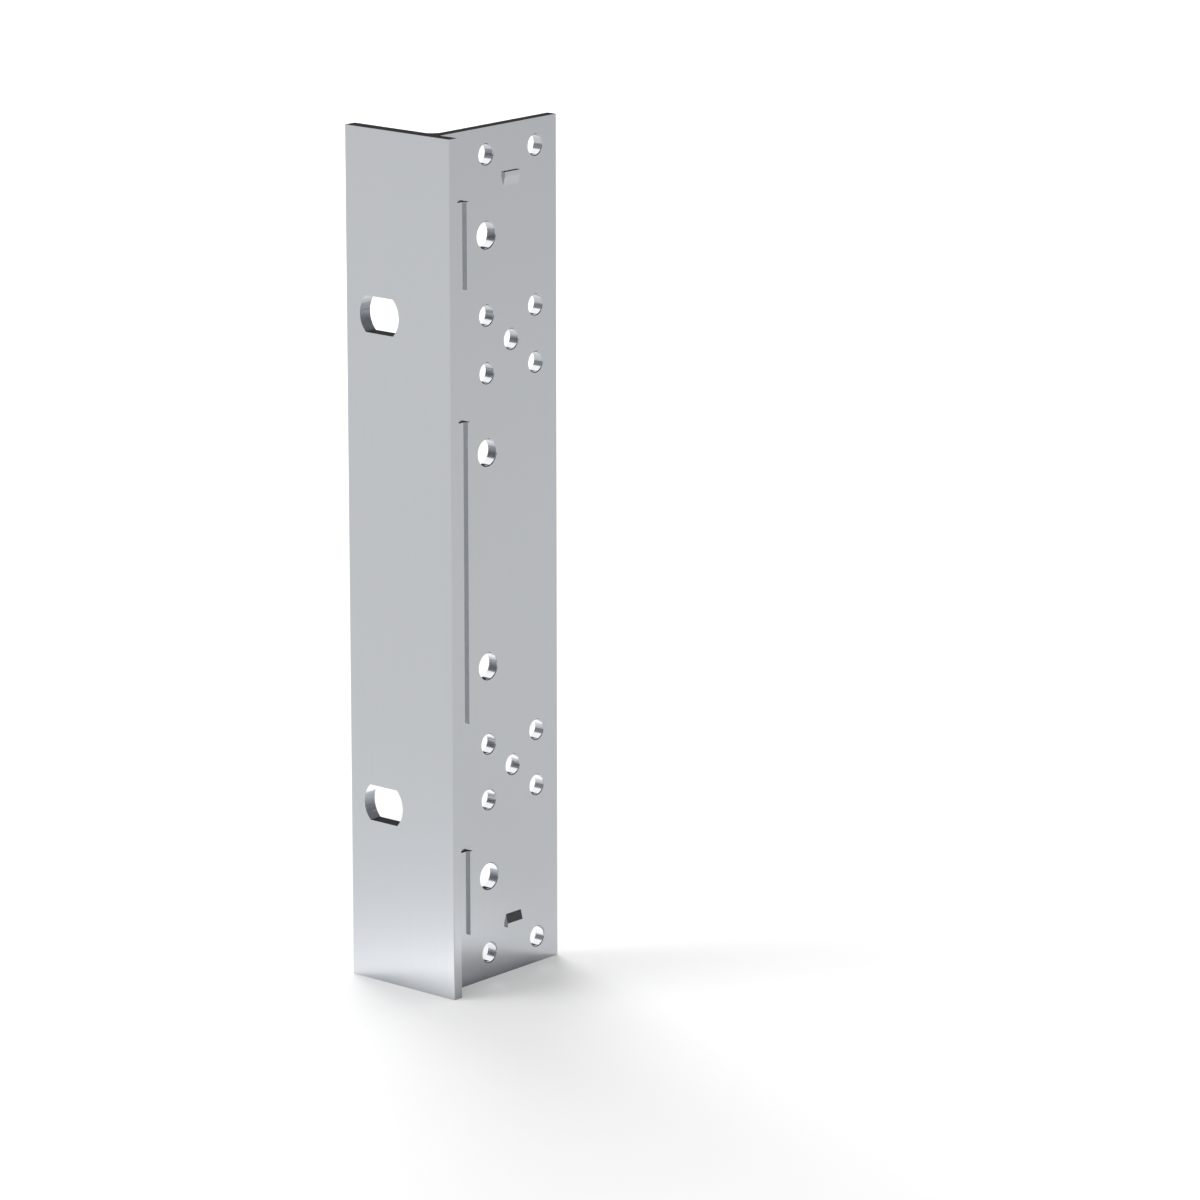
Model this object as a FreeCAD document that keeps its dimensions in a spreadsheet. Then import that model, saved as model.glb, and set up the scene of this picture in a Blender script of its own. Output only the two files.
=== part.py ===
import FreeCAD, Part
import math
import os

import Sketcher

Vector = FreeCAD.Vector

# Rack mount ear bracket, 4U high, one aluminium extrusion cut to length and punched.
# Body frame: X runs from the free end of the ear across the front flange, Y runs back
# from the front face, and Z is up with its zero at mid-height. The body's placement
# stands the bracket on its lower end, centred over the frame's origin.

# Driving dimensions in millimetres.
SIZES = {
    # Section of the extrusion
    "height": 177.0,
    "flange_width": 28.0,
    "web_face": 23.5,
    "depth": 37.2,
    "ear_wall": 3.0,
    "lip_wall": 2.4,
    "web_wall": 2.4,
    "root_fillet": 2.5,
    "corner_radius": 0.15,
    # Double-D holes that bolt the ear to a 19 inch rack post
    "rack_hole_inset": 8.9,
    "rack_hole_spacing": 101.6,
    "rack_hole_bore": 10.5,
    "rack_hole_flats": 7.5,
    # Round holes in the web, in three columns, the middle one set back from mid-depth
    "column_offset": 4.7,
    "column_pitch": 7.4,
    "screw_bore": 4.2,
    "wide_bore": 5.5,
    "end_row_margin": 5.5,
    "group_spacing": 88.9,
    "group_height": 11.8,
    "wide_outer_spacing": 133.35,
    "wide_inner_spacing": 44.45,
    "rim_break": 0.15,
    # Half-sheared locating tabs on the web's outer face
    "tab_margin": 9.7,
    "tab_land": 0.85,
    "tab_ramp": 2.0,
    "tab_width": 4.6,
    "tab_rise": 0.5,
    # Raised strips on the web's outer face, behind the lip
    "ledge_end": 8.8,
    "ledge_rise": 0.5,
    "rib_width": 0.8,
    "rib_rise": 1.1,
    "upper_strip_margin": 14.0,
    "lower_strip_margin": 11.1,
    "end_strip_length": 17.8,
    "strip_gap": 26.9,
}

# Two points or radii nearer than this are the same one.
TOUCH = 1e-6

COLUMNS = {
    "near": "Sizes.depth / 2 + Sizes.column_offset - Sizes.column_pitch",
    "middle": "Sizes.depth / 2 + Sizes.column_offset",
    "far": "Sizes.depth / 2 + Sizes.column_offset + Sizes.column_pitch",
}
ROWS = {
    "end": "Sizes.height / 2 - Sizes.end_row_margin",
    "group_top": "(Sizes.group_spacing + Sizes.group_height) / 2",
    "group_centre": "Sizes.group_spacing / 2",
    "group_bottom": "(Sizes.group_spacing - Sizes.group_height) / 2",
    "wide_outer": "Sizes.wide_outer_spacing / 2",
    "wide_inner": "Sizes.wide_inner_spacing / 2",
}


def make_sheet(doc):
    """The spreadsheet that drives every size."""
    sheet = doc.addObject("Spreadsheet::Sheet", "Sizes")
    for row, (name, value) in enumerate(SIZES.items(), start=1):
        sheet.set(f"A{row}", name)
        sheet.set(f"B{row}", str(value))
        sheet.setAlias(f"B{row}", name)
    doc.recompute()
    return sheet


def origin_plane(body, role):
    """One of the body's own three base planes."""
    return next(plane for plane in body.Origin.OriginFeatures if plane.Role == role)


def new_sketch(body, role, name, lift=None):
    """A sketch on a base plane, moved along the plane's normal by the expression lift."""
    sketch = body.newObject("Sketcher::SketchObject", name)
    sketch.AttachmentSupport = (origin_plane(body, role), "")
    sketch.MapMode = "FlatFace"
    if lift:
        sketch.setExpression("AttachmentOffset.Base.z", lift)
    body.Document.recompute()
    return sketch


def value_of(sketch, expression):
    """The number that an expression on the sheet gives now."""
    return float(sketch.evalExpression(expression))


def dimension(sketch, name, expression, kind, *elements):
    """A named dimension bound to an expression on the sheet."""
    index = sketch.addConstraint(Sketcher.Constraint(kind, *elements, value_of(sketch, expression)))
    sketch.renameConstraint(index, name)
    sketch.setExpression(f"Constraints.{name}", expression)


def add_line(sketch, start, end):
    return sketch.addGeometry(Part.LineSegment(Vector(*start, 0), Vector(*end, 0)), False)


def join(sketch, *links):
    """Ties pairs of points, each pair given as geometry, point, geometry, point."""
    for link in links:
        sketch.addConstraint(Sketcher.Constraint("Coincident", *link))


def level(sketch, horizontal, vertical):
    """Keeps the named lines along the sketch's own axes."""
    for line in horizontal:
        sketch.addConstraint(Sketcher.Constraint("Horizontal", line))
    for line in vertical:
        sketch.addConstraint(Sketcher.Constraint("Vertical", line))


def outline(sketch, corners):
    """A closed outline of straight lines through the corners."""
    lines = [add_line(sketch, corners[i], corners[(i + 1) % len(corners)]) for i in range(len(corners))]
    for i, line in enumerate(lines):
        join(sketch, (line, 2, lines[(i + 1) % len(lines)], 1))
    return lines


def draw_section(body):
    """The extruded T section: ear and lip in front, web behind, one filleted inner corner."""
    sketch = new_sketch(body, "XY_Plane", "SectionOutline")
    width, face, depth = (SIZES[name] for name in ("flange_width", "web_face", "depth"))
    ear, lip, wall, radius = (SIZES[name] for name in ("ear_wall", "lip_wall", "web_wall", "root_fillet"))
    inner = face - wall
    corners = [(0, 0), (width, 0), (width, lip), (face, lip), (face, depth), (inner, depth), (inner, ear + radius)]
    front, lip_end, lip_back, outer, rear, inside = (
        add_line(sketch, corners[i], corners[i + 1]) for i in range(len(corners) - 1)
    )
    ear_back = add_line(sketch, (inner - radius, ear), (0, ear))
    ear_end = add_line(sketch, (0, ear), (0, 0))
    circle = Part.Circle(Vector(inner - radius, ear + radius, 0), Vector(0, 0, 1), radius)
    root = sketch.addGeometry(Part.ArcOfCircle(circle, -math.pi / 2, 0), False)
    join(sketch, (front, 1, -1, 1), (front, 2, lip_end, 1), (lip_end, 2, lip_back, 1), (lip_back, 2, outer, 1))
    join(sketch, (outer, 2, rear, 1), (rear, 2, inside, 1), (ear_back, 2, ear_end, 1), (ear_end, 2, front, 1))
    level(sketch, (front, lip_back, rear, ear_back), (lip_end, outer, inside, ear_end))
    sketch.addConstraint(Sketcher.Constraint("Tangent", inside, 2, root, 2))
    sketch.addConstraint(Sketcher.Constraint("Tangent", root, 1, ear_back, 1))
    dimension(sketch, "flange_width", "Sizes.flange_width", "DistanceX", front, 1, front, 2)
    dimension(sketch, "lip_wall", "Sizes.lip_wall", "DistanceY", lip_end, 1, lip_end, 2)
    dimension(sketch, "web_face", "Sizes.web_face", "DistanceX", -1, 1, outer, 1)
    dimension(sketch, "depth", "Sizes.depth", "DistanceY", -1, 1, outer, 2)
    dimension(sketch, "web_wall", "Sizes.web_wall", "DistanceX", rear, 2, rear, 1)
    dimension(sketch, "ear_wall", "Sizes.ear_wall", "DistanceY", ear_end, 2, ear_end, 1)
    dimension(sketch, "root_fillet", "Sizes.root_fillet", "Radius", root)
    return sketch


def pad_middle(body, name, sketch, length):
    """A pad that grows equally to both sides of its sketch."""
    pad = body.newObject("PartDesign::Pad", name)
    pad.Profile = sketch
    pad.SideType = "Symmetric"
    pad.setExpression("Length", length)
    body.Document.recompute()
    return pad


def round_corners(body, pad):
    """Small radii along the section's outer corners, as a die leaves them."""
    width, face, depth = (SIZES[name] for name in ("flange_width", "web_face", "depth"))
    inner = face - SIZES["web_wall"]
    corners = [(0, 0), (width, 0), (width, SIZES["lip_wall"]), (face, depth), (inner, depth), (0, SIZES["ear_wall"])]
    edges = []
    for number, edge in enumerate(pad.Shape.Edges, start=1):
        start, end = (vertex.Point for vertex in edge.Vertexes)
        upright = math.hypot(start.x - end.x, start.y - end.y) < TOUCH
        if upright and any(math.hypot(start.x - x, start.y - y) < TOUCH for x, y in corners):
            edges.append(f"Edge{number}")
    fillet = body.newObject("PartDesign::Fillet", "CornerRadii")
    fillet.Base = (pad, edges)
    fillet.setExpression("Radius", "Sizes.corner_radius")
    body.Document.recompute()
    return fillet


def draw_strip(body, name, lift):
    """Section of a raised strip: a low ledge from the lip back to a higher rib."""
    sketch = new_sketch(body, "XY_Plane", name, lift)
    face, lip = SIZES["web_face"], SIZES["lip_wall"]
    ledge_end, ledge = SIZES["ledge_end"], SIZES["ledge_rise"]
    rib_end, rib = ledge_end + SIZES["rib_width"], SIZES["rib_rise"]
    foot, front, ledge_top, rib_front, rib_top, rib_back = outline(sketch, [
        (face, rib_end), (face, lip), (face + ledge, lip),
        (face + ledge, ledge_end), (face + rib, ledge_end), (face + rib, rib_end),
    ])
    level(sketch, (front, rib_front, rib_back), (foot, ledge_top, rib_top))
    dimension(sketch, "web_face", "Sizes.web_face", "DistanceX", -1, 1, foot, 2)
    dimension(sketch, "lip_wall", "Sizes.lip_wall", "DistanceY", -1, 1, foot, 2)
    dimension(sketch, "ledge_rise", "Sizes.ledge_rise", "DistanceX", front, 1, front, 2)
    dimension(sketch, "rib_rise", "Sizes.rib_rise", "DistanceX", rib_back, 2, rib_back, 1)
    dimension(sketch, "ledge_end", "Sizes.ledge_end", "DistanceY", -1, 1, rib_front, 1)
    dimension(sketch, "rib_width", "Sizes.rib_width", "DistanceY", rib_top, 1, rib_top, 2)
    return sketch


def add_strips(body):
    """Three strips in line: two of one length near the ends, and a long one that fills the run between."""
    upper_end = "(Sizes.height / 2 - Sizes.upper_strip_margin)"
    lower_end = "(-Sizes.height / 2 + Sizes.lower_strip_margin)"
    taken = "(Sizes.end_strip_length + Sizes.strip_gap)"
    strips = (
        ("Upper", f"{upper_end} - Sizes.end_strip_length / 2", "Sizes.end_strip_length"),
        ("Middle", f"({upper_end} + {lower_end}) / 2", f"{upper_end} - {lower_end} - 2 * {taken}"),
        ("Lower", f"{lower_end} + Sizes.end_strip_length / 2", "Sizes.end_strip_length"),
    )
    for place, centre, length in strips:
        sketch = draw_strip(body, place + "StripSection", centre)
        pad_middle(body, place + "Strip", sketch, length)


def draw_wedge(body, name, face):
    """Side view of a tab: a ramp from the plane X = face up to a level land with a square upper end."""
    sketch = new_sketch(body, "XZ_Plane", name, f"-({COLUMNS['middle']})")
    base, top = value_of(sketch, face), value_of(sketch, "Sizes.height / 2 - Sizes.tab_margin")
    bend, raised = top - SIZES["tab_land"], base + SIZES["tab_rise"]
    ramp, land, end, back = outline(sketch, [
        (base, bend - SIZES["tab_ramp"]), (raised, bend), (raised, top), (base, top),
    ])
    level(sketch, (end,), (land, back))
    dimension(sketch, "face", face, "DistanceX", -1, 1, ramp, 1)
    dimension(sketch, "top", "Sizes.height / 2 - Sizes.tab_margin", "DistanceY", -1, 1, end, 2)
    dimension(sketch, "tab_land", "Sizes.tab_land", "DistanceY", land, 1, land, 2)
    dimension(sketch, "tab_ramp", "Sizes.tab_ramp", "DistanceY", ramp, 1, ramp, 2)
    dimension(sketch, "tab_rise", "Sizes.tab_rise", "DistanceX", end, 2, end, 1)
    return sketch


def add_tab(body):
    """The upper locating tab, pushed out of the web, which leaves a like recess inside."""
    outside = draw_wedge(body, "TabWedge", "Sizes.web_face")
    tab = pad_middle(body, "Tab", outside, "Sizes.tab_width")
    inside = draw_wedge(body, "TabRecessWedge", "Sizes.web_face - Sizes.web_wall")
    recess = body.newObject("PartDesign::Pocket", "TabRecess")
    recess.Profile = inside
    recess.SideType = "Symmetric"
    recess.setExpression("Length", "Sizes.tab_width")
    body.Document.recompute()
    return [tab, recess]


def cut_through(body, name, sketch):
    """A pocket through everything on both sides of its sketch."""
    pocket = body.newObject("PartDesign::Pocket", name)
    pocket.Profile = sketch
    pocket.SideType = "Symmetric"
    pocket.Type = "ThroughAll"
    body.Document.recompute()
    return pocket


def cut_rack_hole(body):
    """The upper double-D hole in the ear: a bore cut off by an upper and a lower flat."""
    sketch = new_sketch(body, "XZ_Plane", "RackHoleOutline")
    across, up = SIZES["rack_hole_inset"], SIZES["rack_hole_spacing"] / 2
    radius, flat = SIZES["rack_hole_bore"] / 2, SIZES["rack_hole_flats"] / 2
    half = math.sqrt(radius ** 2 - flat ** 2)
    angle = math.asin(flat / radius)
    circle = Part.Circle(Vector(across, up, 0), Vector(0, 0, 1), radius)
    right = sketch.addGeometry(Part.ArcOfCircle(circle, -angle, angle), False)
    left = sketch.addGeometry(Part.ArcOfCircle(circle, math.pi - angle, math.pi + angle), False)
    top = add_line(sketch, (across + half, up + flat), (across - half, up + flat))
    bottom = add_line(sketch, (across - half, up - flat), (across + half, up - flat))
    join(sketch, (right, 2, top, 1), (top, 2, left, 1), (left, 2, bottom, 1), (bottom, 2, right, 1))
    join(sketch, (left, 3, right, 3))
    level(sketch, (top, bottom), ())
    dimension(sketch, "inset", "Sizes.rack_hole_inset", "DistanceX", -1, 1, right, 3)
    dimension(sketch, "rise", "Sizes.rack_hole_spacing / 2", "DistanceY", -1, 1, right, 3)
    dimension(sketch, "bore", "Sizes.rack_hole_bore", "Diameter", right)
    dimension(sketch, "upper_flat", "Sizes.rack_hole_flats / 2", "DistanceY", right, 3, top, 1)
    dimension(sketch, "lower_flat", "Sizes.rack_hole_flats / 2", "DistanceY", bottom, 2, right, 3)
    return cut_through(body, "RackHole", sketch)


def cut_web_holes(body, name, bore, places):
    """Round holes of one bore through the web, at the named columns and rows."""
    sketch = new_sketch(body, "YZ_Plane", name + "Centres")
    radius = value_of(sketch, bore) / 2
    for column, row in places:
        centre = Vector(value_of(sketch, COLUMNS[column]), value_of(sketch, ROWS[row]), 0)
        hole = sketch.addGeometry(Part.Circle(centre, Vector(0, 0, 1), radius), False)
        dimension(sketch, f"{column}_{row}_across", COLUMNS[column], "DistanceX", -1, 1, hole, 3)
        dimension(sketch, f"{column}_{row}_up", ROWS[row], "DistanceY", -1, 1, hole, 3)
        dimension(sketch, f"{column}_{row}_bore", bore, "Diameter", hole)
    return cut_through(body, name, sketch)


def mirror_down(body, originals):
    """Copies the upper half's features to the lower half."""
    mirrored = body.newObject("PartDesign::Mirrored", "LowerHalf")
    mirrored.Originals = originals
    mirrored.MirrorPlane = (origin_plane(body, "XY_Plane"), [""])
    body.Tip = mirrored
    body.Document.recompute()
    return mirrored


def break_rims(body, base):
    """A fine chamfer round both rims of each round hole in the web."""
    radii = (SIZES["screw_bore"] / 2, SIZES["wide_bore"] / 2)
    rims = [
        f"Edge{number}" for number, edge in enumerate(base.Shape.Edges, start=1)
        if isinstance(edge.Curve, Part.Circle) and edge.isClosed()
        and any(abs(edge.Curve.Radius - radius) < TOUCH for radius in radii)
    ]
    chamfer = body.newObject("PartDesign::Chamfer", "RimBreak")
    chamfer.Base = (base, rims)
    chamfer.setExpression("Size", "Sizes.rim_break")
    body.Tip = chamfer
    body.Document.recompute()


def make_bracket(doc):
    body = doc.addObject("PartDesign::Body", "EarBracket")
    body.Label = "ear_bracket"
    extrusion = pad_middle(body, "Extrusion", draw_section(body), "Sizes.height")
    round_corners(body, extrusion)
    add_strips(body)
    upper_half = add_tab(body)
    upper_half.append(cut_rack_hole(body))
    upper_half.append(cut_web_holes(body, "ScrewHoles", "Sizes.screw_bore", (
        ("near", "end"), ("far", "end"),
        ("near", "group_top"), ("far", "group_top"),
        ("middle", "group_centre"),
        ("near", "group_bottom"), ("far", "group_bottom"),
    )))
    upper_half.append(cut_web_holes(body, "WideHoles", "Sizes.wide_bore", (
        ("near", "wide_outer"), ("near", "wide_inner"),
    )))
    break_rims(body, mirror_down(body, upper_half))
    body.setExpression("Placement.Base.x", "-Sizes.flange_width / 2")
    body.setExpression("Placement.Base.y", "-Sizes.depth / 2")
    body.setExpression("Placement.Base.z", "Sizes.height / 2")
    doc.recompute()
    return body


def check_document(doc, bodies):
    """Stops if any object failed or any shape is unfit to write."""
    for item in doc.Objects:
        if "Invalid" in item.State or "Error" in item.State:
            raise RuntimeError(f"{item.Name} failed: {item.State}")
    for body in bodies:
        if body.Shape.isNull() or not body.Shape.isValid():
            raise RuntimeError(f"{body.Label} has no valid shape")
        if len(body.Shape.Solids) != 1:
            raise RuntimeError(f"{body.Label} is not one solid")


def main():
    doc = FreeCAD.newDocument("RackMountEarBracket")
    make_sheet(doc)
    bodies = [make_bracket(doc)]
    check_document(doc, bodies)
    os.makedirs("parts", exist_ok=True)
    for body in bodies:
        body.Shape.exportStep(f"parts/{body.Label}.step")
        box = body.Shape.BoundBox
        print(f"{body.Label}: {box.XLength:.2f} x {box.YLength:.2f} x {box.ZLength:.2f} mm,"
              f" {body.Shape.Volume:.1f} mm3")


main()
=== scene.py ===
import math

import bpy
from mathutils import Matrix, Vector


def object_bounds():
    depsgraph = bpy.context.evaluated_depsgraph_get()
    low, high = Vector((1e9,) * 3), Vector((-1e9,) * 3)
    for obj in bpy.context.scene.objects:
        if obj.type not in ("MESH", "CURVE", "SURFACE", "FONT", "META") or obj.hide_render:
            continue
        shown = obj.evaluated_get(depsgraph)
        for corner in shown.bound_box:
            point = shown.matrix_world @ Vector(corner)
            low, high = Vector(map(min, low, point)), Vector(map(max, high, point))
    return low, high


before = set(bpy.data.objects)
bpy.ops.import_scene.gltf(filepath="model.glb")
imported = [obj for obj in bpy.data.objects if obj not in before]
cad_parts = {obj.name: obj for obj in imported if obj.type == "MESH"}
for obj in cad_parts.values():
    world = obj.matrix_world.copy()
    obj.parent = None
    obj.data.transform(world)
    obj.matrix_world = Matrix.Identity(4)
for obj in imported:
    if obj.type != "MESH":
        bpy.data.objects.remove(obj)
CAD_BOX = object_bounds()

NODE = "ear_bracket"

# Camera, in metres and degrees, from lines and holes measured in the 1200 by 1200 picture
CAMERA_PLACE = (0.78876, -0.87728, 0.37407)
CAMERA_AZIMUTH = 40.593
CAMERA_PITCH = 14.087
CAMERA_CLIP = (0.01, 100.0)
FOCAL_PIXELS = 5962.9
IMAGE_PIXELS = 1200
SENSOR_MM = 36.0

# Light on the floor: a softbox behind at the left, and a dome with a bright patch in front
KEY_PLACE = (-1.00, 0.66, 1.08)
KEY_SIZE = 0.95
KEY_WATTS = 11.8
DOME_COLOUR = (0.78, 0.78, 0.78, 1.0)
DOME_PATCH = {"direction": (-0.47, -0.67, 0.57), "ends": (0.927, 0.978), "colour": (4.0, 4.0, 4.0, 1.0)}

# Past the floor the camera sees white. The metal mirrors a dim room there in place of the softbox and
# the dome, darkest at the rear, with a bright patch in its ceiling at the left.
WHITE = (1.0, 1.0, 1.0, 1.0)
ROOM_REAR = (0.054, 0.054, 0.055, 1.0)
ROOM_FRONT = (0.355, 0.355, 0.355, 1.0)
ROOM_FRONT_END = (0.0, -0.4)
ROOM_CEILING = {"direction": (-0.72, 0.02, 0.69), "ends": (0.86, 0.90), "colour": (1.7, 1.7, 1.7, 1.0)}

# Metal: two tints mixed by fine draw lines along Z, and the roughness of its faces
METAL_LIGHT = (0.529, 0.545, 0.569, 1.0)
METAL_DARK = (0.503, 0.519, 0.543, 1.0)
LINE_STRETCH = (4000.0, 4000.0, 30.0)
LINE_DETAIL = 3.0
LINE_BUMP = 0.02
LINE_DEPTH = 0.0001
FACE_ROUGHNESS = 0.12
HOLE_ROUGHNESS = 0.16
INNER_ROUGHNESS = 0.50

# Where the hole walls and the inner faces lie on the bracket, in metres from its centre. The normal's
# part along an axis stays under SIDEWAYS on the walls of a hole along that axis, and is over SQUARE on
# a face across it.
EAR_BACK = -0.0156
WEB_LEFT = 0.0071
WEB_RIGHT = 0.0095
EDGE_ZONE = 0.001
SKIN = 0.0001
SIDEWAYS = 0.5
SQUARE = 0.9

# Floor: plain for light and under the painted light and shade in the metal's mirror image, and a little
# whiter for the camera
FLOOR_HALF = 12.0
FLOOR_COLOUR = (0.80, 0.80, 0.80, 1.0)
PAPER_COLOUR = (0.90, 0.90, 0.90, 1.0)

# Only in the metal's mirror image, painted light and shade lie on the floor: a painted shade, duller at
# the right of the web; painted light, brighter far in front; painted pools of light before, behind and
# beside the ear; and painted shades along the feet of the front face and the web.
FLOOR_RIGHT_PAINTED_SHADE = (0.757, 0.757, 0.757, 1.0)
FRONT_FAR_PAINTED_LIGHT = {"rise": 0.072, "ends": (0.15, 0.80)}
FRONT_POOL = {"centre": (0.014, -0.0236, 0.0), "reach": 0.035, "strength": 0.83}
FRONT_POOL_END = (0.035, 0.015)
REAR_POOL = {"centre": (0.0, 0.0, 0.0), "reach": 0.045, "strength": 1.22}
RIGHT_POOL = {"centre": (0.034, 0.010, 0.0), "reach": 0.030, "strength": 0.28}
FRONT_CONTACT_SHADE = {"depth": 0.44, "reach": 0.005, "start": -0.018, "full": -0.004}
RIGHT_CONTACT_SHADE = {"depth": 0.55, "reach": 0.006, "start": 0.020, "full": 0.009}

# A count of bounces under this is nought
NO_BOUNCE = 0.5


def put(tree, socket, value):
    """Link an input to a socket, or give it a plain value."""
    if isinstance(value, bpy.types.NodeSocket):
        tree.links.new(value, socket)
    else:
        socket.default_value = value


def math_node(tree, operation, *values):
    """The result of a math node on sockets or plain numbers."""
    node = tree.nodes.new("ShaderNodeMath")
    node.operation = operation
    for socket, value in zip(node.inputs, values):
        put(tree, socket, value)
    return node.outputs["Value"]


def chain(tree, operation, first, *others):
    """The result of one math operation carried on over several sockets or plain numbers."""
    for other in others:
        first = math_node(tree, operation, first, other)
    return first


def vector_node(tree, operation, first, second):
    """The outputs of a vector math node on two sockets or plain values."""
    node = tree.nodes.new("ShaderNodeVectorMath")
    node.operation = operation
    put(tree, node.inputs[0], first)
    put(tree, node.inputs["Scale"] if operation == "SCALE" else node.inputs[1], second)
    return node.outputs


def split_vector(tree, vector):
    """The X, Y and Z outputs of a vector socket."""
    node = tree.nodes.new("ShaderNodeSeparateXYZ")
    tree.links.new(vector, node.inputs[0])
    return node.outputs


def mix(tree, kind, factor, first, second):
    """The first number or colour where the factor is nought, and the second where it is one."""
    node = tree.nodes.new("ShaderNodeMix")
    node.data_type = kind
    for name, value in (("Factor", factor), ("A", first), ("B", second)):
        put(tree, node.inputs[name], value)
    return node.outputs["Result"]


def between(tree, value, low, high):
    """One where a value lies between two numbers."""
    above = math_node(tree, "GREATER_THAN", value, low)
    below = math_node(tree, "LESS_THAN", value, high)
    return math_node(tree, "MULTIPLY", above, below)


def ramp(tree, value, low, high):
    """A smooth rise from nought at low to one at high."""
    node = tree.nodes.new("ShaderNodeMapRange")
    node.interpolation_type = "SMOOTHSTEP"
    node.inputs["From Min"].default_value = low
    node.inputs["From Max"].default_value = high
    tree.links.new(value, node.inputs["Value"])
    return node.outputs["Result"]


def empty_material(name):
    """A new material and its empty node tree."""
    material = bpy.data.materials.new(name)
    material.use_nodes = True
    material.node_tree.nodes.clear()
    return material, material.node_tree


def hole_walls(tree, spot, facing):
    """One on the punched walls of the holes in the web and in the ear."""
    left, front, low = CAD_BOX[0]
    rear, high = CAD_BOX[1][1:]
    in_web = between(tree, spot["Y"], EAR_BACK, rear - EDGE_ZONE)
    in_ear = between(tree, spot["Y"], front + SKIN, EAR_BACK - SKIN)
    off_sides = between(tree, spot["X"], left + EDGE_ZONE, 0.0)
    off_ends = between(tree, spot["Z"], low + EDGE_ZONE, high - EDGE_ZONE)
    web_walls = chain(tree, "MULTIPLY", in_web, between(tree, facing["X"], -SIDEWAYS, SIDEWAYS))
    ear_walls = chain(tree, "MULTIPLY", in_ear, between(tree, facing["Y"], -SIDEWAYS, SIDEWAYS), off_sides)
    return chain(tree, "MULTIPLY", chain(tree, "ADD", web_walls, ear_walls), off_ends)


def inner_faces(tree, spot, facing):
    """One on the back of the ear and on the web's left face."""
    ear_back = chain(tree, "MULTIPLY", math_node(tree, "GREATER_THAN", facing["Y"], SQUARE),
                     math_node(tree, "LESS_THAN", spot["X"], WEB_LEFT),
                     math_node(tree, "LESS_THAN", spot["Y"], EAR_BACK + SKIN))
    web_back = chain(tree, "MULTIPLY", math_node(tree, "LESS_THAN", facing["X"], -SQUARE),
                     math_node(tree, "GREATER_THAN", spot["X"], WEB_LEFT - SKIN))
    return chain(tree, "ADD", ear_back, web_back)


def metal_roughness(tree):
    """Smooth outer faces, duller inner faces, and the walls of the holes in between."""
    geometry = tree.nodes.new("ShaderNodeNewGeometry")
    spot = split_vector(tree, geometry.outputs["Position"])
    facing = split_vector(tree, geometry.outputs["True Normal"])
    walls = chain(tree, "MULTIPLY", hole_walls(tree, spot, facing), HOLE_ROUGHNESS - FACE_ROUGHNESS)
    inner = chain(tree, "MULTIPLY", inner_faces(tree, spot, facing), INNER_ROUGHNESS - FACE_ROUGHNESS)
    return chain(tree, "ADD", walls, inner, FACE_ROUGHNESS)


def draw_lines(tree):
    """Noise drawn out along Z into fine lines."""
    place = tree.nodes.new("ShaderNodeTexCoord")
    stretch = tree.nodes.new("ShaderNodeMapping")
    stretch.inputs["Scale"].default_value = LINE_STRETCH
    noise = tree.nodes.new("ShaderNodeTexNoise")
    noise.inputs["Scale"].default_value = 1.0
    noise.inputs["Detail"].default_value = LINE_DETAIL
    tree.links.new(place.outputs["Object"], stretch.inputs["Vector"])
    tree.links.new(stretch.outputs["Vector"], noise.inputs["Vector"])
    return noise.outputs["Fac"]


def metal_material():
    """Bright extruded aluminium with faint draw lines."""
    material, tree = empty_material("bracket_metal_look")
    out = tree.nodes.new("ShaderNodeOutputMaterial")
    shader = tree.nodes.new("ShaderNodeBsdfPrincipled")
    shader.inputs["Metallic"].default_value = 1.0
    lines = draw_lines(tree)
    bump = tree.nodes.new("ShaderNodeBump")
    bump.inputs["Strength"].default_value = LINE_BUMP
    bump.inputs["Distance"].default_value = LINE_DEPTH
    tree.links.new(lines, bump.inputs["Height"])
    tree.links.new(mix(tree, "RGBA", lines, METAL_DARK, METAL_LIGHT), shader.inputs["Base Color"])
    tree.links.new(metal_roughness(tree), shader.inputs["Roughness"])
    tree.links.new(bump.outputs["Normal"], shader.inputs["Normal"])
    tree.links.new(shader.outputs["BSDF"], out.inputs["Surface"])
    return material


def mirrored_mask(tree):
    """One for what the metal mirrors straight to the camera, and nought for all other rays."""
    path = tree.nodes.new("ShaderNodeLightPath")
    direct = math_node(tree, "LESS_THAN", path.outputs["Diffuse Depth"], NO_BOUNCE)
    return math_node(tree, "MULTIPLY", path.outputs["Is Glossy Ray"], direct)


def light_pool(tree, place, centre, reach, strength):
    """A painted pool of light: a brightness that falls off with the distance from a point on the floor."""
    distance = vector_node(tree, "DISTANCE", place, centre)["Value"]
    share = math_node(tree, "DIVIDE", distance, reach)
    fall = math_node(tree, "ADD", math_node(tree, "MULTIPLY", share, share), 1.0)
    return math_node(tree, "DIVIDE", strength, fall)


def contact_shade(tree, gap, along, depth, reach, start, full):
    """A painted shade: a factor below one near a foot of the bracket. It deepens from start to full along
    the foot.
    """
    gap = math_node(tree, "MAXIMUM", gap, 0.0)
    fall = math_node(tree, "EXPONENT", math_node(tree, "DIVIDE", gap, -reach))
    share = math_node(tree, "MULTIPLY", ramp(tree, along, start, full), depth)
    return math_node(tree, "SUBTRACT", 1.0, math_node(tree, "MULTIPLY", fall, share))


def floor_zones(tree, front_gap, right_gap):
    """One on the floor before the front face, then behind it at the left and at the right of the web."""
    front = math_node(tree, "GREATER_THAN", front_gap, 0.0)
    rear = math_node(tree, "SUBTRACT", 1.0, front)
    right = math_node(tree, "MULTIPLY", math_node(tree, "GREATER_THAN", right_gap, 0.0), rear)
    left = math_node(tree, "SUBTRACT", rear, right)
    return front, left, right


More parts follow.
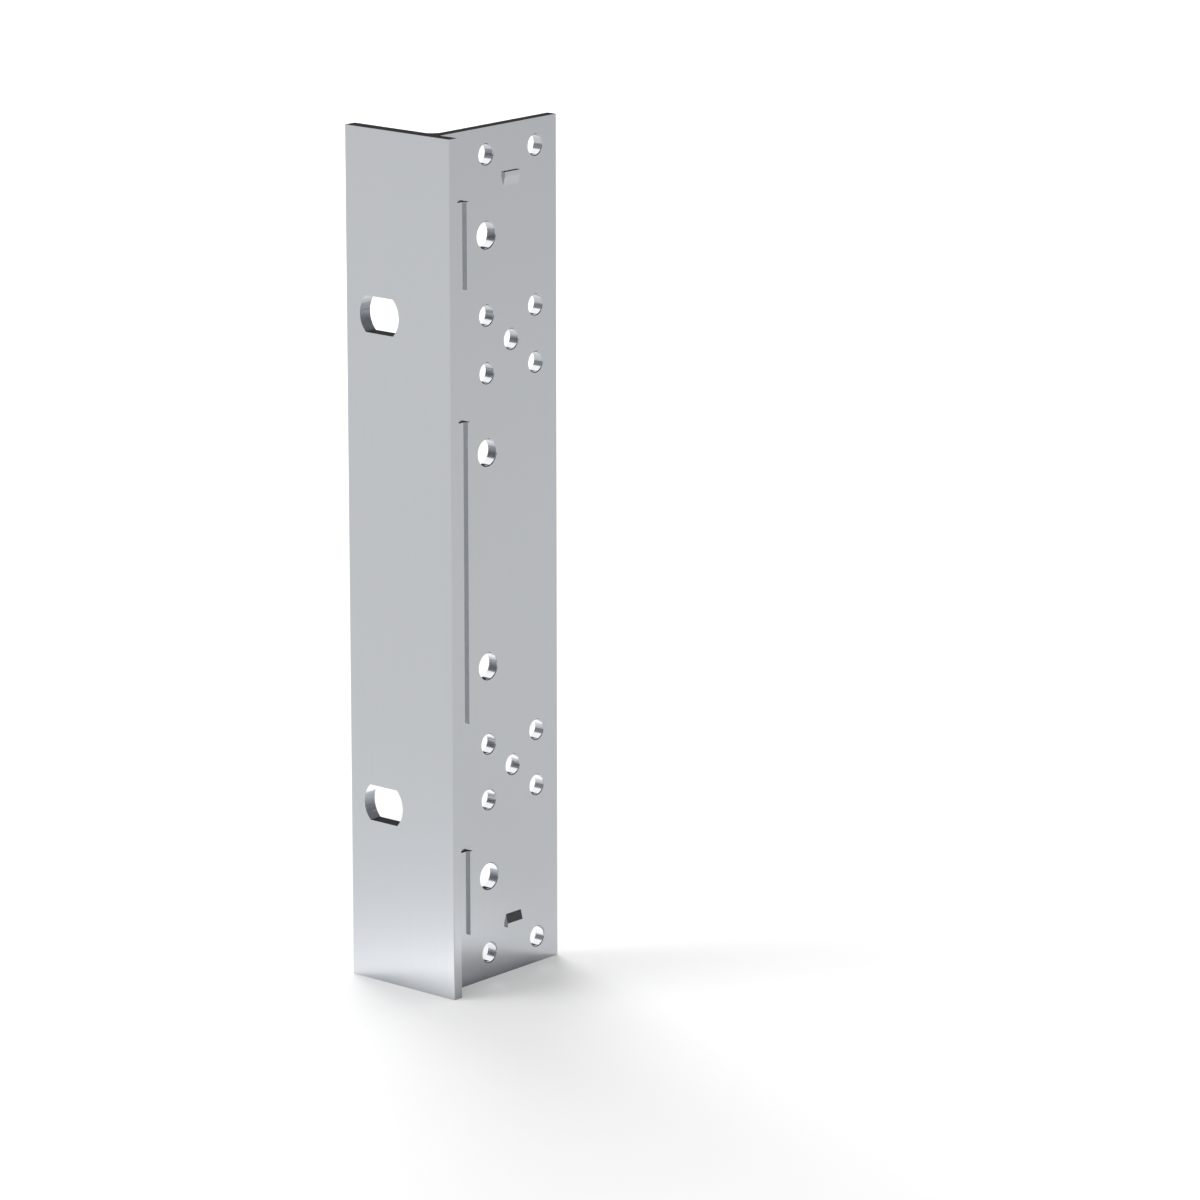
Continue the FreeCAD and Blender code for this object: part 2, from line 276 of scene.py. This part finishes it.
def painted_mirrored_floor(tree):
    """The floor's colour in the metal's mirror image, with painted light and painted shade."""
    coordinates = tree.nodes.new("ShaderNodeTexCoord")
    place = coordinates.outputs["Object"]
    spot = split_vector(tree, place)
    front_gap = math_node(tree, "SUBTRACT", CAD_BOX[0][1], spot["Y"])
    right_gap = math_node(tree, "SUBTRACT", spot["X"], WEB_RIGHT)
    # Zones of the floor where the painted light and shade lie
    at_front, at_left, at_right = floor_zones(tree, front_gap, right_gap)
    pool_end = ramp(tree, spot["X"], *FRONT_POOL_END)
    # Painted pools of light before, behind and beside the ear
    before = chain(tree, "MULTIPLY", light_pool(tree, place, **FRONT_POOL), at_front, pool_end)
    # Painted light: the floor is brighter far in front
    far = chain(tree, "MULTIPLY", ramp(tree, front_gap, *FRONT_FAR_PAINTED_LIGHT["ends"]), FRONT_FAR_PAINTED_LIGHT["rise"])
    behind = chain(tree, "MULTIPLY", light_pool(tree, place, **REAR_POOL), at_left)
    beside = chain(tree, "MULTIPLY", light_pool(tree, place, **RIGHT_POOL), at_right)
    pools = chain(tree, "ADD", before, far, behind, beside)
    # Painted shades along the feet of the front face and the web
    front_shade = contact_shade(tree, front_gap, spot["X"], **FRONT_CONTACT_SHADE)
    right_shade = contact_shade(tree, right_gap, spot["Y"], **RIGHT_CONTACT_SHADE)
    shade = mix(tree, "FLOAT", at_left, front_shade, 1.0)
    shade = mix(tree, "FLOAT", at_right, shade, right_shade)
    # Painted shade: the floor's colour is duller at the right of the web
    plain = mix(tree, "RGBA", at_right, FLOOR_COLOUR, FLOOR_RIGHT_PAINTED_SHADE)
    # The floor's colour with the painted light added, then darkened by the painted shades
    lit = vector_node(tree, "ADD", plain, pools)["Vector"]
    return vector_node(tree, "SCALE", lit, shade)["Vector"]


def floor_material():
    """White paper for the camera, slightly duller for light, and duller with painted light and shade in
    the metal.
    """
    material, tree = empty_material("floor_look")
    out = tree.nodes.new("ShaderNodeOutputMaterial")
    paint = tree.nodes.new("ShaderNodeBsdfDiffuse")
    path = tree.nodes.new("ShaderNodeLightPath")
    plain = mix(tree, "RGBA", path.outputs["Is Camera Ray"], FLOOR_COLOUR, PAPER_COLOUR)
    seen = mix(tree, "RGBA", mirrored_mask(tree), plain, painted_mirrored_floor(tree))
    tree.links.new(seen, paint.inputs["Color"])
    tree.links.new(paint.outputs["BSDF"], out.inputs["Surface"])
    return material


def make_floor():
    corners = [(-FLOOR_HALF, -FLOOR_HALF, 0), (FLOOR_HALF, -FLOOR_HALF, 0),
               (FLOOR_HALF, FLOOR_HALF, 0), (-FLOOR_HALF, FLOOR_HALF, 0)]
    mesh = bpy.data.meshes.new("floor")
    mesh.from_pydata(corners, [], [(0, 1, 2, 3)])
    floor = bpy.data.objects.new("floor", mesh)
    bpy.context.scene.collection.objects.link(floor)
    floor.data.materials.append(floor_material())


def patch_in_sky(tree, plain, direction, ends, colour):
    """A round patch of another colour about a direction, with soft ends given as cosines."""
    sky = tree.nodes.new("ShaderNodeTexCoord")
    nearness = vector_node(tree, "DOT_PRODUCT", sky.outputs["Generated"], direction)["Value"]
    return mix(tree, "RGBA", ramp(tree, nearness, *ends), plain, colour)


def background(tree, colour):
    """A background of strength one, from a plain colour or a socket."""
    node = tree.nodes.new("ShaderNodeBackground")
    put(tree, node.inputs["Color"], colour)
    return node.outputs["Background"]


def mix_shaders(tree, factor, first, second):
    """The first shader where the factor is nought, and the second where it is one."""
    node = tree.nodes.new("ShaderNodeMixShader")
    for socket, value in zip(node.inputs, (factor, first, second)):
        tree.links.new(value, socket)
    return node.outputs["Shader"]


def make_world():
    """White past the floor for the camera, a bright dome for the floor, and a dimmer room in the metal."""
    world = bpy.data.worlds.new("studio")
    bpy.context.scene.world = world
    world.use_nodes = True
    tree = world.node_tree
    tree.nodes.clear()
    out = tree.nodes.new("ShaderNodeOutputWorld")
    path = tree.nodes.new("ShaderNodeLightPath")
    sky = tree.nodes.new("ShaderNodeTexCoord")
    direction = split_vector(tree, sky.outputs["Generated"])
    dome = patch_in_sky(tree, DOME_COLOUR, **DOME_PATCH)
    room = mix(tree, "RGBA", ramp(tree, direction["Y"], *ROOM_FRONT_END), ROOM_REAR, ROOM_FRONT)
    room = patch_in_sky(tree, room, **ROOM_CEILING)
    lit = mix_shaders(tree, mirrored_mask(tree), background(tree, dome), background(tree, room))
    seen = mix_shaders(tree, path.outputs["Is Camera Ray"], lit, background(tree, WHITE))
    tree.links.new(seen, out.inputs["Surface"])


def make_key():
    """The softbox, which lights the floor but isn't mirrored in the metal."""
    data = bpy.data.lights.new("key", "AREA")
    data.shape = "DISK"
    data.size = KEY_SIZE
    data.energy = KEY_WATTS
    lamp = bpy.data.objects.new("key", data)
    bpy.context.scene.collection.objects.link(lamp)
    lamp.visible_glossy = False
    lamp.location = KEY_PLACE
    lamp.rotation_euler = Vector(KEY_PLACE).to_track_quat("Z", "Y").to_euler()


def make_camera():
    data = bpy.data.cameras.new("camera")
    data.sensor_width = SENSOR_MM
    data.lens = FOCAL_PIXELS / IMAGE_PIXELS * SENSOR_MM
    data.clip_start, data.clip_end = CAMERA_CLIP
    camera = bpy.data.objects.new("camera", data)
    bpy.context.scene.collection.objects.link(camera)
    camera.location = CAMERA_PLACE
    camera.rotation_euler = (math.radians(90.0 - CAMERA_PITCH), 0.0, math.radians(CAMERA_AZIMUTH))
    bpy.context.scene.camera = camera


def dress_bracket():
    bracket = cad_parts[NODE]
    bracket.data.materials.clear()
    bracket.data.materials.append(metal_material())


bpy.context.scene.view_settings.view_transform = "Standard"
dress_bracket()
make_floor()
make_world()
make_key()
make_camera()
